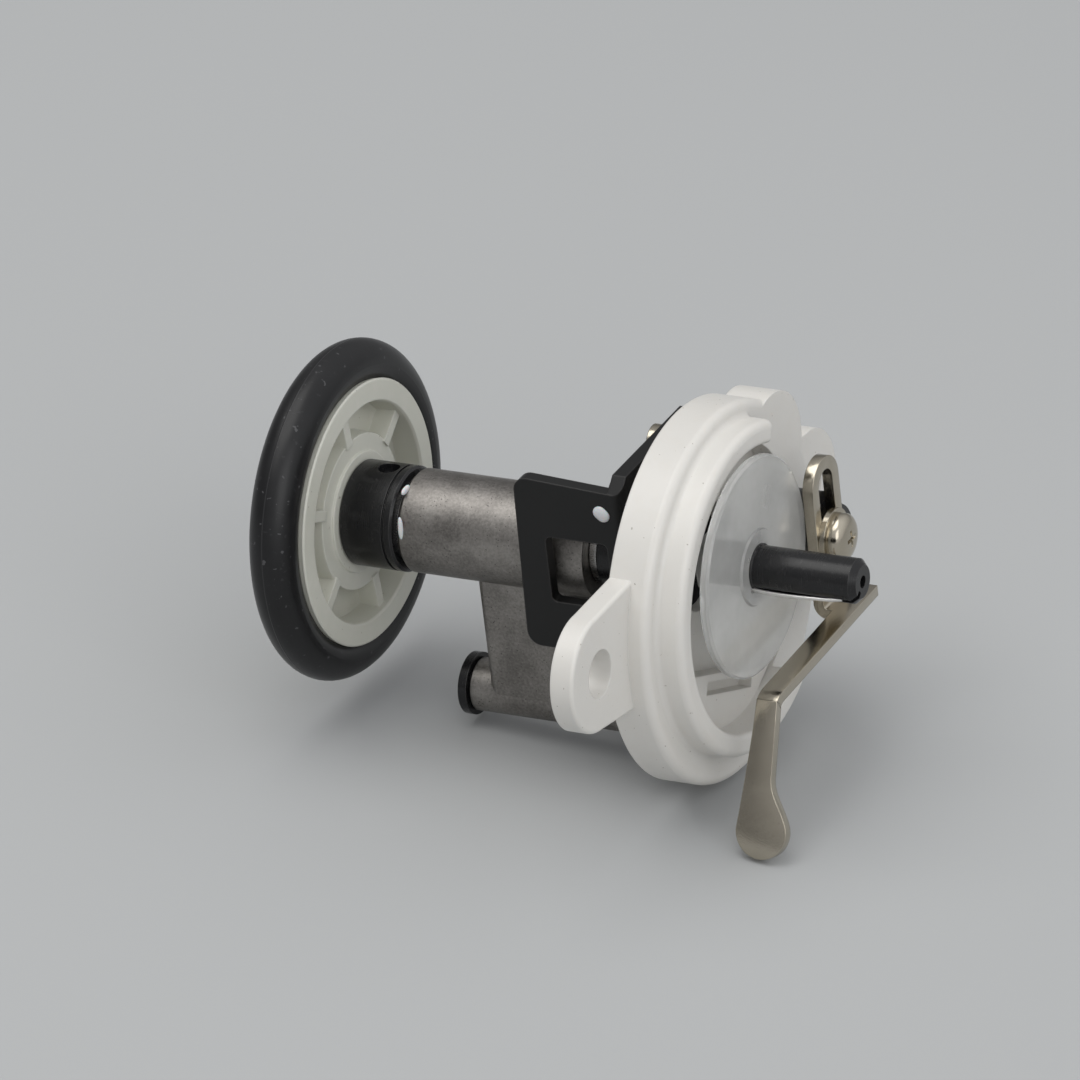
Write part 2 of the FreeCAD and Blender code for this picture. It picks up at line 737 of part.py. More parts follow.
def make_base_cover():
    body = new_body("base_cover")
    y_place = d("cover_y")
    z_place = d("cover_z")
    pad_round(body, "skirt", d("cover_back"), d("ledge_front"), y_place, z_place, d("cover_radius"))
    ear_pad(body, "ear_left", d("ear_left_y"), d("ear_left_z"), as_size(-10.0), as_size(-3.0))
    ear_pad(body, "ear_right", d("ear_right_y"), d("ear_right_z"), as_size(16.0), as_size(-6.0))
    # A plain lobe swells the outline at the top.
    pad_round(body, "lobe", d("cover_back"), d("ledge_front"), as_size(18.5), as_size(7.0), as_size(8.0))
    # The cup wall stands on the ledge.
    pad_round(body, "cup_wall", d("cover_back"), d("cup_front"), d("cup_y"), d("cup_z"), d("cup_outer"))
    # The cup is open on the lever's side.
    gate = across(body, "cup_gate", d("cup_front") + 1.0)
    reach = 40.0
    high = math.radians(66.0)
    low = math.radians(-62.0)
    add_polygon(gate, [
        (d("cup_y"), d("cup_z")),
        (d("cup_y") + reach * math.cos(low), d("cup_z") + reach * math.sin(low)),
        (d("cup_y") + reach * 1.6, d("cup_z")),
        (d("cup_y") + reach * math.cos(high), d("cup_z") + reach * math.sin(high)),
    ])
    pocket(body, gate, d("cup_front") + 1.0 - d("ledge_front"))
    cup = across(body, "cup", d("cup_front") + 1.0)
    add_circle(cup, d("cup_y"), d("cup_z"), d("cup_inner"))
    pocket(body, cup, d("cup_front") + 1.0 - d("floor_front"))
    # A straight-edged step crosses the bottom of the cup, with a narrow recess along its edge.
    step = across(body, "cup_step", d("floor_front") - 0.2)
    add_polygon(step, [
        (as_size(-11.3), as_size(-11.5)),
        (as_size(11.5), as_size(-21.3)),
        (as_size(4.0), as_size(-25.0)),
        (as_size(-8.0), as_size(-22.0)),
    ])
    pad(body, step, d("ledge_front") - 0.5 - (d("floor_front") - 0.2))
    recess = across(body, "step_recess", d("ledge_front") + 1.0)
    add_polygon(recess, [
        (as_size(-6.0), as_size(-14.9)),
        (as_size(6.4), as_size(-20.3)),
        (as_size(5.7), as_size(-21.9)),
        (as_size(-6.7), as_size(-16.5)),
    ])
    pocket(body, recess, as_size(3.4))
    round_cover(body)
    # The back is hollow.
    hollow = across(body, "back_hollow", d("cover_back") - 1.0)
    add_circle(hollow, y_place, z_place, d("cover_radius") - 1.4)
    pocket(body, hollow, d("floor_back") - d("cover_back") + 1.0, backward=False)
    # Spindle opening in the floor.
    opening = across(body, "floor_opening", d("floor_front") + 1.0)
    add_circle(opening, as_size(1.0), as_size(0.0), as_size(7.4))
    pocket(body, opening, as_size(5.0))
    # Boss for the lever shaft, and three bosses that the bracket is screwed to.
    pad_round(body, "shaft_boss", d("floor_back") - 0.5, d("ledge_front") + 0.6, d("lever_y"), d("lever_z"),
              as_size(5.2))
    bosses = across(body, "bosses", d("wall_front"))
    for boss_y, boss_z in BOSS_PLACES:
        add_circle(bosses, as_size(boss_y), as_size(boss_z), as_size(BOSS_RADIUS))
    pad(body, bosses, d("floor_back") + 0.5 - d("wall_front"))
    bore_round(body, "shaft_hole", d("cover_back") - 3.0, d("ledge_front") + 3.0, d("lever_y"), d("lever_z"),
               d("lever_shaft_radius") + 0.3)
    tapped = across(body, "boss_holes", d("wall_front") - 0.5)
    for boss_y, boss_z in BOSS_PLACES:
        add_circle(tapped, as_size(boss_y), as_size(boss_z), as_size(SCREW_RADIUS))
    pocket(body, tapped, as_size(4.6), backward=False)
    bore_round(body, "left_ear_hole", d("cover_back") - 1, d("ear_front") + 1, d("ear_left_y"),
               d("ear_left_z"), d("ear_hole"))
    bore_round(body, "right_ear_hole", d("cover_back") - 1, d("ear_front") + 1, d("ear_right_y"),
               d("ear_right_z"), d("ear_hole"))


# Trip lever

def make_lever_shaft():
    body = new_body("lever_shaft")
    rear = d("lever_shaft_rear")
    front = d("block_front")
    pad_round(body, "shaft_round", rear, front - 0.2, d("lever_y"), d("lever_z"), d("lever_shaft_radius"))
    round_edges(body, "shaft_chamfer", 0.4,
                circle_rule(rear.value, d("lever_shaft_radius").value, d("lever_y").value,
                            d("lever_z").value), "PartDesign::Chamfer")
    cross_hole(body, "shaft_pin_hole")


NOSE = (9.4, -12.0)
NOSE_RADIUS = 1.5


def make_trip_crank():
    # The crank's nose holds the swing arm's finger, and slips over it when the lever turns.
    body = new_body("trip_crank")
    rear = d("crank_rear")
    front = d("crank_front")
    pad_round(body, "crank_hub", rear, front, d("lever_y"), d("lever_z"), as_size(5.6))
    arm = across(body, "crank_arm", rear)
    add_polygon(arm, [
        (as_size(NOSE[0]), as_size(NOSE[1] - NOSE_RADIUS)),
        (d("lever_y") + 1.5, d("lever_z") - 5.3),
        (d("lever_y") - 1.0, d("lever_z") + 5.3),
        (as_size(NOSE[0]), as_size(NOSE[1] + NOSE_RADIUS)),
    ])
    pad(body, arm, front - rear)
    pad_round(body, "crank_nose", rear, front, as_size(NOSE[0]), as_size(NOSE[1]), as_size(NOSE_RADIUS))
    bore_round(body, "crank_bore", rear - 1, front + 1, d("lever_y"), d("lever_z"),
               d("lever_shaft_radius") + 0.01)
    cross_hole(body, "crank_pin_hole")


def make_lever_block():
    # The front arm on the shaft carries the presser lever, and stays clear of the stop disc's rim.
    body = new_body("lever_block")
    rear = d("block_rear")
    front = d("block_front")
    pad_round(body, "block_hub", rear, front, d("lever_y"), d("lever_z"), as_size(5.4))
    pad_round(body, "block_end", rear, front, d("screw_y"), d("screw_z"), as_size(2.7))
    pad_round(body, "block_top", rear, front, d("screw_y") + 1.0, d("screw_z") + 3.8, as_size(2.0))
    bridge = across(body, "block_bridge", rear)
    add_polygon(bridge, [
        (d("screw_y") - 1.9, d("screw_z") - 1.9),
        (d("lever_y") - 3.6, d("lever_z") - 4.0),
        (d("lever_y") + 3.6, d("lever_z") + 4.0),
        (d("screw_y") + 2.8, d("screw_z") + 4.6),
        (d("screw_y") - 0.7, d("screw_z") + 4.8),
        (d("screw_y") - 2.6, d("screw_z") + 0.7),
    ])
    pad(body, bridge, front - rear)
    bore_round(body, "block_bore", rear - 1, front - 0.2, d("lever_y"), d("lever_z"),
               d("lever_shaft_radius") + 0.01)
    bore_round(body, "block_tapping", rear - 1, front + 1, d("screw_y"), d("screw_z"), as_size(1.5))


def cross_hole(body, name):
    # The hole that the crank's spring pin is driven through.
    sketch = new_sketch(body, name, "XY_Plane", d("lever_z") + 7.0)
    add_circle(sketch, d("crank_rear") + 1.5, d("lever_y"), as_size(0.76))
    pocket(body, sketch, as_size(14.0))


def make_crank_pin():
    # A spring pin fixes the crank to the shaft.
    body = new_body("crank_pin")
    sketch = new_sketch(body, "pin_round_section", "XY_Plane", d("lever_z") - 5.4)
    add_circle(sketch, d("crank_rear") + 1.5, d("lever_y"), as_size(0.75))
    pad(body, sketch, as_size(10.8))


def make_presser_lever():
    body = new_body("presser_lever")
    rear = d("block_front")
    sheet_thick = d("sheet")
    mid = d("screw_y")
    half = as_size(4.0)
    top = as_size(3.2)
    under = d("strip_top") - sheet_thick
    plate = across(body, "plate", rear)
    add_box(plate, mid - half, mid + half, under, top)
    pad(body, plate, sheet_thick)
    pad_round(body, "plate_top", rear, rear + sheet_thick, mid, top, half)
    # The tab is folded forward from the plate's foot, and the strip runs on from it.
    tab = across(body, "tab", rear)
    add_box(tab, mid - half, mid + half, under, d("strip_top"))
    pad(body, tab, d("strip_front") - rear)
    strip = across(body, "strip", d("strip_rear"))
    elbow_y = -9.6
    elbow_z = d("strip_top").value
    paddle_y = -16.4
    paddle_z = -29.9
    run = math.hypot(paddle_y - elbow_y, paddle_z - elbow_z)
    way_y = (paddle_y - elbow_y) / run
    way_z = (paddle_z - elbow_z) / run
    thick = sheet_thick.value
    # The inner corner lies where the two inner faces meet.
    inner_y = elbow_y + thick * (1.0 + way_y) / -way_z
    add_polygon(strip, [
        (mid, d("strip_top")),
        (as_size(elbow_y), d("strip_top")),
        (as_size(paddle_y), as_size(paddle_z)),
        (as_size(paddle_y - thick * way_z), as_size(paddle_z + thick * way_y)),
        (as_size(inner_y), under),
        (mid, under),
    ])
    pad(body, strip, d("strip_front") - d("strip_rear"))
    paddle = body.newObject("PartDesign::AdditiveCylinder", "paddle")
    bind(paddle, "Radius", d("paddle_radius"))
    bind(paddle, "Height", sheet_thick)
    outward = Vector(0, -way_z, way_y)
    start = Vector((d("strip_rear").value + d("strip_front").value) / 2, paddle_y, paddle_z)
    paddle.Placement = Placement(start, Rotation(Vector(0, 0, 1), outward))
    doc.recompute()
    # Sheet-metal bends.
    strip_top = d("strip_top").value
    round_edges(body, "elbow_outside", 2.4,
                lambda e: abs(e.BoundBox.YMin - elbow_y) < 0.01 and e.BoundBox.YLength < 0.01
                and abs(e.BoundBox.ZMin - strip_top) < 0.01 and e.BoundBox.ZLength < 0.01)
    round_edges(body, "elbow_inside", 1.0,
                lambda e: abs(e.BoundBox.YMin - inner_y) < 0.01 and e.BoundBox.YLength < 0.01
                and abs(e.BoundBox.ZMin - under.value) < 0.01 and e.BoundBox.ZLength < 0.01)
    round_edges(body, "foot_bend", 1.3,
                lambda e: abs(e.BoundBox.XMin - rear.value) < 0.01 and e.BoundBox.XLength < 0.01
                and abs(e.BoundBox.ZMin - under.value) < 0.01 and e.BoundBox.ZLength < 0.01
                and e.BoundBox.YLength > 5)
    # The slot lets the presser be set nearer to or farther from the bobbin.
    slot = across(body, "slot", rear + sheet_thick + 1.0)
    slot_half = d("slot_width") * 0.5
    add_box(slot, mid - slot_half, mid + slot_half, d("slot_bottom"), d("slot_top"))
    pocket(body, slot, sheet_thick + 2.0)
    bore_round(body, "slot_top_end", rear - 1, rear + sheet_thick + 1, mid, d("slot_top"), slot_half)
    bore_round(body, "slot_low_end", rear - 1, rear + sheet_thick + 1, mid, d("slot_bottom"), slot_half)


def make_presser_screw():
    body = new_body("presser_screw")
    seat = d("plate_front") + 0.8
    y_place = d("screw_y")
    z_place = d("screw_z")
    pad_round(body, "screw_head", seat, seat + 2.3, y_place, z_place, as_size(3.3))
    pad_round(body, "screw_shank", d("block_rear") + 0.2, seat, y_place, z_place, as_size(1.49))
    round_edges(body, "head_rounding", 1.3,
                circle_rule((seat + 2.3).value, 3.3, y_place.value, z_place.value))
    cross = across(body, "cross_recess", seat + 2.4)
    add_polygon(cross, [
        (y_place - 1.5, z_place - 0.35), (y_place - 0.35, z_place - 0.35), (y_place - 0.35, z_place - 1.5),
        (y_place + 0.35, z_place - 1.5), (y_place + 0.35, z_place - 0.35), (y_place + 1.5, z_place - 0.35),
        (y_place + 1.5, z_place + 0.35), (y_place + 0.35, z_place + 0.35), (y_place + 0.35, z_place + 1.5),
        (y_place - 0.35, z_place + 1.5), (y_place - 0.35, z_place + 0.35), (y_place - 1.5, z_place + 0.35),
    ])
    pocket(body, cross, as_size(1.3))


# Springs

def coil_points(turns, pitch, mean, steps_per_turn):
    count = int(turns * steps_per_turn)
    points = []
    for i in range(count + 1):
        turn = 2 * math.pi * i / steps_per_turn
        points.append(Vector(pitch * i / steps_per_turn, mean * math.cos(turn), mean * math.sin(turn)))
    return points


def least_gap(points, wire_radius, apart):
    # The least clear distance between points of the wire that lie more than a few steps apart.
    nearest = min(points[i].distanceToPoint(points[j])
                  for i in range(len(points)) for j in range(i + apart, len(points)))
    return nearest - 2 * wire_radius


def make_coil_spring(label, start_x, y_place, z_place, turns, turn_deg, leg):
    # One unbroken wire: quarter-turn arcs along the coil, and a straight leg at each end.
    wire_radius = d("spring_wire").value
    pitch = d("spring_pitch").value
    mean = d("spring_mean").value
    fine = coil_points(turns, pitch, mean, 8)
    edges = []
    for i in range(0, len(fine) - 2, 2):
        edges.append(Part.Arc(fine[i], fine[i + 1], fine[i + 2]).toShape())
    first_way = edges[0].tangentAt(edges[0].FirstParameter)
    last_way = edges[-1].tangentAt(edges[-1].LastParameter)
    lead = Part.LineSegment(fine[0] - first_way * leg, fine[0]).toShape()
    trail = Part.LineSegment(fine[-1], fine[-1] + last_way * leg).toShape()
    spine = Part.Wire([lead] + edges + [trail])
    section = Part.Wire([Part.makeCircle(wire_radius, fine[0] - first_way * leg, first_way)])
    solid = spine.makePipeShell([section], True, False)
    samples = [point for edge in spine.OrderedEdges for point in edge.discretize(12)]
    print("%s: least gap %.2f mm" % (label, least_gap(samples, wire_radius, 30)))
    spring = doc.addObject("Part::Feature", label)
    spring.Label = label
    spring.Shape = solid
    spring.Placement = Placement(Vector(start_x, y_place, z_place), Rotation(Vector(1, 0, 0), turn_deg))
    doc.recompute()
    return spring


# Build everything

make_tyre()
make_wheel_hub()
make_spindle()
make_drive_collar()
make_set_screw()
tube("thrust_washer", d("collar_front") + 0.02, d("barrel_rear") - 0.05, as_size(5.6), d("shaft_radius") + 0.01)
tube("retaining_ring", d("barrel_front") + 0.1, d("sleeve_rear") - 0.02, as_size(5.0), d("shaft_radius") + 0.01)
make_spindle_sleeve()
make_stop_disc()
make_thread_clip()

make_spindle_housing()
tube("rear_bush", d("barrel_rear"), d("barrel_rear") + d("bush_length"), d("bush_radius") - 0.01,
     d("running_bore"))
tube("front_bush", d("barrel_front") - d("bush_length"), d("barrel_front"), d("bush_radius") - 0.01,
     d("running_bore"))

make_bracket()
make_pivot_pin()
make_pivot_clip()
make_lever_bush()
make_stop_stud()
make_cover_screws()
make_base_cover()

make_lever_shaft()
tube("shaft_clip", d("lever_shaft_rear") + 0.8, d("lever_shaft_rear") + 1.8, as_size(4.4),
     d("lever_shaft_radius") + 0.01, d("lever_y"), d("lever_z"))
make_trip_crank()
make_crank_pin()
make_lever_block()
make_presser_lever()
make_presser_screw()
tube("presser_washer", d("plate_front"), d("plate_front") + 0.8, as_size(3.9), as_size(1.6), d("screw_y"),
     d("screw_z"))
make_coil_spring("swing_spring", 36.9, 0.0, -d("pivot_drop").value, 2.75, 90.0, 4.0)
make_coil_spring("lever_spring", 37.7, d("lever_y").value, d("lever_z").value, 2.25, 90.0, 4.0)
doc.recompute()

# Slide the pieces to the bobbin's seat, then test and write each one

os.makedirs("parts", exist_ok=True)
pieces = [o for o in doc.Objects if o.TypeId in ("PartDesign::Body", "Part::Feature")]
slide = Placement(Vector(-d("seat_middle").value, 0, 0), Rotation())
for piece in pieces:
    piece.Placement = slide.multiply(piece.Placement)
doc.recompute()
bad = [o.Label for o in doc.Objects if "Invalid" in o.State or "Error" in o.State]
print("bad objects:", bad)
for piece in pieces:
    shape = piece.Shape
    if shape.isNull() or not shape.isValid():
        print("bad shape:", piece.Label)
        continue
    print("%-18s %d solid(s) %9.1f mm3" % (piece.Label, len(shape.Solids), shape.Volume))
    shape.exportStep("parts/%s.step" % piece.Label)
print(len(pieces), "pieces")
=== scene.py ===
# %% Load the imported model
import json
import math

import bpy
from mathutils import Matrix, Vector


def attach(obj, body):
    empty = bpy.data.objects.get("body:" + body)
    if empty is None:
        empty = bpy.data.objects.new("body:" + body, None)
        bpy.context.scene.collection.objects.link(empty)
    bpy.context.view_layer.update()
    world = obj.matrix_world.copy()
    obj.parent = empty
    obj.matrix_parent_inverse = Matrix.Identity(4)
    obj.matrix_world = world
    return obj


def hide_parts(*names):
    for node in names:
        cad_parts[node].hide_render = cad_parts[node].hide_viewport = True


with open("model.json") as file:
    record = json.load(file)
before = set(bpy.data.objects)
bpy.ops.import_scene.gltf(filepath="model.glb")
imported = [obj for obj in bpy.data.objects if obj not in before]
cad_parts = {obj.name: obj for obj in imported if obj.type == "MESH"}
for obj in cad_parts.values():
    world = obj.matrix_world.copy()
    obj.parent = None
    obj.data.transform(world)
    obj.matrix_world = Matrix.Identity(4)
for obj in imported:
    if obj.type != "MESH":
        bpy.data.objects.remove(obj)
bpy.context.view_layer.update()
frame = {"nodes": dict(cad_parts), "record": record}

# %% [markdown]
# # A sewing bobbin winder
#
# The object is a small mechanism: a rubber-tyred wheel on a spindle, a sintered housing
# that swings, a white moulded cover, and a bright bent lever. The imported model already
# gives every rigid piece at its true place, so this lesson does two things. It gives each
# piece the finish of its real material, and it remodels by hand the pieces whose soft
# edges and small shapes make the object look real.
#
# Sizes are thought of in millimetres and written in metres, so one number turns one into
# the other.

# %% Units and small helpers
MM = 0.001


def mm(x, y, z):
    """A point or a step that is given in millimetres."""
    return Vector((x * MM, y * MM, z * MM))


def deselect():
    """The loaded nodes come selected, and an operator would act on them too."""
    if bpy.context.object and bpy.context.object.mode != "OBJECT":
        bpy.ops.object.mode_set(mode="OBJECT")
    bpy.ops.object.select_all(action="DESELECT")


def only(piece):
    """Selects one object and makes it active."""
    deselect()
    piece.select_set(True)
    bpy.context.view_layer.objects.active = piece


def pick(piece, rule, kind="VERT"):
    """Selects the vertices, edges or faces of a piece whose middle the rule accepts (mm)."""
    bpy.ops.object.mode_set(mode="OBJECT")
    mesh = piece.data
    for group in (mesh.vertices, mesh.edges, mesh.polygons):
        group.foreach_set("select", [False] * len(group))
    where = [piece.matrix_world @ v.co / MM for v in mesh.vertices]
    group = {"VERT": mesh.vertices, "EDGE": mesh.edges, "FACE": mesh.polygons}[kind]
    found = 0
    for item in group:
        corners = [where[item.index]] if kind == "VERT" else [where[i] for i in item.vertices]
        if all(rule(c) for c in corners):
            item.select = True
            found += 1
    bpy.ops.object.mode_set(mode="EDIT")
    bpy.ops.mesh.select_mode(type=kind)
    return found


def settle(piece):
    """Puts the place, turn and scale of a piece into its mesh, so the object sits at the origin."""
    only(piece)
    bpy.ops.object.transform_apply(location=True, rotation=True, scale=True)


def modify(piece, kind, **settings):
    """Adds a modifier and applies it."""
    only(piece)
    step = piece.modifiers.new(kind.lower(), kind)
    for key, value in settings.items():
        setattr(step, key, value)
    bpy.ops.object.modifier_apply(modifier=step.name)


def face_out(piece):
    """Turns all the faces of a closed piece outwards."""
    only(piece)
    bpy.ops.object.mode_set(mode="EDIT")
    bpy.ops.mesh.select_all(action="SELECT")
    bpy.ops.mesh.remove_doubles(threshold=0.002 * MM)
    bpy.ops.mesh.normals_make_consistent(inside=False)
    bpy.ops.object.mode_set(mode="OBJECT")


def finish_piece(piece, body, material, smooth=35):
    """Shades a piece, gives it its material and lets it ride on its body."""
    only(piece)
    bpy.ops.object.shade_smooth_by_angle(angle=math.radians(smooth))
    piece.data.materials.clear()
    piece.data.materials.append(material)
    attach(piece, body)
    print(piece.name, len(piece.data.polygons), "faces on", body)


print("helpers ready: one millimetre is", MM, "m")

# %% [markdown]
# ## Writing shader maths as Python
#
# A material is a graph of nodes. Wiring it by hand hides the sum that it stands for, so a
# small class wraps a socket and gives it `+`, `-`, `*` and `/`. `1 - mask * 0.4` then makes
# the Math nodes by itself. Every pattern reads Object coordinates, turned into
# millimetres, so a noise of scale 2 has two blotches to the millimetre on every piece.

# %% Values and finishes
class Value:
    """One output of a node. Arithmetic on it adds Math nodes."""

    def __init__(self, finish, socket):
        self.finish = finish
        self.socket = socket

    def __add__(self, other):
        return self.finish.maths("ADD", self, other)

    def __sub__(self, other):
        return self.finish.maths("SUBTRACT", self, other)

    def __mul__(self, other):
        return self.finish.maths("MULTIPLY", self, other)

    def __truediv__(self, other):
        return self.finish.maths("DIVIDE", self, other)

    def __rsub__(self, other):
        return self.finish.maths("SUBTRACT", other, self)

    __radd__ = __add__
    __rmul__ = __mul__

    def size(self):
        return self.finish.maths("ABSOLUTE", self)

    def over(self, level, soft):
        """0 below the level, 1 above it, with a soft step between."""
        return self.finish.node("ShaderNodeMapRange", {"interpolation_type": "SMOOTHSTEP"},
                                {"Value": self, "From Min": level - soft, "From Max": level + soft})


class Finish:
    """A material under construction."""

    def __init__(self, name):
        self.material = bpy.data.materials.new(name)
        self.material.use_nodes = True
        self.tree = self.material.node_tree
        self.tree.nodes.clear()
        self.count = 0

    def node(self, kind, settings=None, inputs=None, output=0):
        """Makes a node: first its settings, then the values or links of its sockets."""
        made = self.tree.nodes.new(kind)
        made.location = (220 * (self.count // 4), -260 * (self.count % 4))
        self.count += 1
        for key, value in (settings or {}).items():
            setattr(made, key, value)
        for key, value in (inputs or {}).items():
            self.feed(made.inputs[key], value)
        return Value(self, made.outputs[output])

    def feed(self, socket, value):
        if isinstance(value, Value):
            self.tree.links.new(value.socket, socket)
        elif isinstance(value, tuple) and socket.type == "RGBA" and len(value) == 3:
            socket.default_value = (*value, 1.0)
        else:
            socket.default_value = value

    def maths(self, operation, first, second=0.0):
        return self.node("ShaderNodeMath", {"operation": operation}, {0: first, 1: second})

    def place(self):
        """Object coordinates in millimetres."""
        raw = self.node("ShaderNodeTexCoord", output=3)
        return self.node("ShaderNodeVectorMath", {"operation": "SCALE"},
                         {0: raw, "Scale": 1000.0})

    def parts(self, vector):
        split = self.node("ShaderNodeSeparateXYZ", inputs={0: vector})
        return [Value(self, out) for out in split.socket.node.outputs]

    def stretched(self, vector, x, y, z):
        return self.node("ShaderNodeVectorMath", {"operation": "MULTIPLY"},
                         {0: vector, 1: (x, y, z)})

    def noise(self, vector, scale, detail=3.0, rough=0.55):
        return self.node("ShaderNodeTexNoise", inputs={
            "Vector": vector, "Scale": scale, "Detail": detail, "Roughness": rough})

    def cells(self, vector, scale):
        return self.node("ShaderNodeTexVoronoi", {"feature": "F1"},
                         {"Vector": vector, "Scale": scale})

    def blend(self, factor, first, second):
        """Mixes two colours."""
        return self.node("ShaderNodeMix", {"data_type": "RGBA"},
                         {0: factor, 6: first, 7: second}, 2)

    def rounded(self, radius):
        """The normal that a small rounding of the edges would give."""
        return self.node("ShaderNodeBevel", {"samples": 6}, {"Radius": radius * MM})

    def edge(self, soft_normal):
        """1 near a sharp edge, where the rounded normal leaves the true one, and 0 elsewhere."""
        true = self.node("ShaderNodeNewGeometry", output=1)
        along = self.node("ShaderNodeVectorMath", {"operation": "DOT_PRODUCT"},
                          {0: soft_normal, 1: true}, 1)
        return (1 - along).over(0.05, 0.045)

    def bump(self, height, depth, strength=1.0, normal=None):
        """Height 1 stands for a depth in millimetres."""
        inputs = {"Strength": strength, "Distance": depth * MM, "Height": height}
        if normal is not None:
            inputs["Normal"] = normal
        return self.node("ShaderNodeBump", inputs=inputs)

    def surface(self, **inputs):
        """The Principled shader, by its socket names, with spaces written as underscores."""
        named = {key.replace("_", " "): value for key, value in inputs.items()}
        return self.node("ShaderNodeBsdfPrincipled", inputs=named)

    def done(self, shader):
        end = self.tree.nodes.new("ShaderNodeOutputMaterial")
        self.feed(end.inputs[0], shader)
        return self.material


def radius_about(finish, vector, y=0.0, z=0.0):
    """Distance in millimetres from an axis that runs along X."""
    across = finish.parts(vector)
    side = across[1] - y
    rise = across[2] - z
    return finish.maths("SQRT", side * side + rise * rise)


print("shader maths ready")

# %% [markdown]
# ## Rubber
#
# The tyre is a moulded rubber ring. New rubber is nearly black with a satin skin, a faint
# bloom of dust and a thin parting line where the mould halves met. A dark base with a
# slow cloud in both colour and roughness breaks up the highlight, and tiny pale specks
# read as dust. The parting line is a narrow ridge at the ring's widest place.

# %% Rubber finish
TYRE_PLANE = -68.3
RIDGE_WIDTH = 0.13
RIDGE_RADIUS = 22.4


def rubber_finish():
    f = Finish("rubber_black")
    place = f.place()
    cloud = f.noise(place, 0.16, 4.0)
    skin = f.noise(place, 3.0, 3.0)
    dust = f.noise(place, 1.3, 1.0).over(0.735, 0.03)
    scuff = f.noise(f.stretched(place, 0.5, 1.4, 1.4), 0.9, 2.0).over(0.7, 0.05)
    x = f.parts(place)[0]
    ridge = (1 - (x - TYRE_PLANE).size() / RIDGE_WIDTH).over(0.5, 0.5)
    ridge = ridge * radius_about(f, place).over(RIDGE_RADIUS, 0.3)
    colour = f.blend(cloud, (0.006, 0.006, 0.0065), (0.014, 0.014, 0.015))
    colour = f.blend(dust * 0.45 + scuff * 0.10 + ridge * 0.12, colour, (0.13, 0.13, 0.135))
    rough = cloud * 0.22 + dust * 0.2 + scuff * 0.12 + 0.24
    normal = f.bump(skin * 0.5 + cloud * 2.0 + ridge * 3.0, 0.012, 0.8)
    shader = f.surface(Base_Color=colour, Roughness=rough, Normal=normal, Specular_IOR_Level=0.32)
    return f.done(shader)


rubber_black = rubber_finish()
print("rubber made")

# %% [markdown]
# ## White plastic
#
# The cover is moulded in a warm white and the wheel hub in a greener cream. Moulded
# plastic is never one flat tone: it varies by a few percent, its gloss drifts, and small
# specks of dirt stay on it. The rounded normal gives the sharp edges of the model a hair
# of highlight, as a mould does, and a paler colour along those edges is a painted highlight.

# %% White plastic finish
def white_plastic_finish(name, light, dark):
    f = Finish(name)
    place = f.place()
    cloud = f.noise(place, 0.07, 4.0)
    patch = f.noise(place, 0.5, 4.0)
    grain = f.noise(place, 4.5, 2.0)
    speck = f.noise(place, 1.7, 1.0).over(0.775, 0.012)
    soft = f.rounded(0.25)
    edge_wear_and_highlight = f.edge(soft)
    colour = f.blend(cloud, light, dark)
    colour = f.blend(patch.over(0.62, 0.16) * 0.35, colour, (0.66, 0.635, 0.585))
    # Painted highlight: the sharp edges are painted paler, as if they caught the light.
    colour = f.blend(edge_wear_and_highlight * 0.18, colour, (0.86, 0.85, 0.83))
    colour = f.blend(speck * 0.6, colour, (0.20, 0.16, 0.12))
    rough = patch * 0.16 + grain * 0.05 + 0.24
    normal = f.bump(grain * 0.3 + patch * 1.2, 0.010, 0.6, soft)
    shader = f.surface(Base_Color=colour, Roughness=rough, Normal=normal,
                       Specular_IOR_Level=0.5, Subsurface_Weight=0.12, Subsurface_Scale=0.0015,
                       Subsurface_Radius=(1.0, 0.9, 0.8))
    return f.done(shader)


plastic_white = white_plastic_finish("plastic_white", (0.71, 0.69, 0.65), (0.66, 0.645, 0.61))
plastic_cream = white_plastic_finish("plastic_cream", (0.62, 0.62, 0.55), (0.56, 0.56, 0.49))
print("white and cream plastic made")

# %% [markdown]
# ## Clear plastic
#
# The stop disc is clear but slightly milky: the cup behind it shows softened. Full
# transmission with some roughness gives the blur, and a share of plain white haze, mixed
# by a slow noise, gives the milkiness.

# %% Clear plastic finish
def clear_plastic_finish():
    f = Finish("plastic_clear")
    place = f.place()
    cloud = f.noise(place, 0.12, 3.0)
    scratch = f.noise(f.stretched(place, 1.0, 0.4, 3.0), 2.0, 3.0)
    normal = f.bump(scratch, 0.004, 0.4)
    glass = f.surface(Base_Color=(0.96, 0.96, 0.945), Roughness=cloud * 0.10 + 0.04, Normal=normal,
                      Transmission_Weight=1.0, IOR=1.45)
    haze = f.surface(Base_Color=(0.80, 0.80, 0.78), Roughness=cloud * 0.15 + 0.22, Normal=normal)
    milkiness = cloud * 0.2 + 0.22
    shader = f.node("ShaderNodeMixShader", inputs={0: milkiness, 1: glass, 2: haze})
    return f.done(shader)


plastic_clear = clear_plastic_finish()
print("clear plastic made")
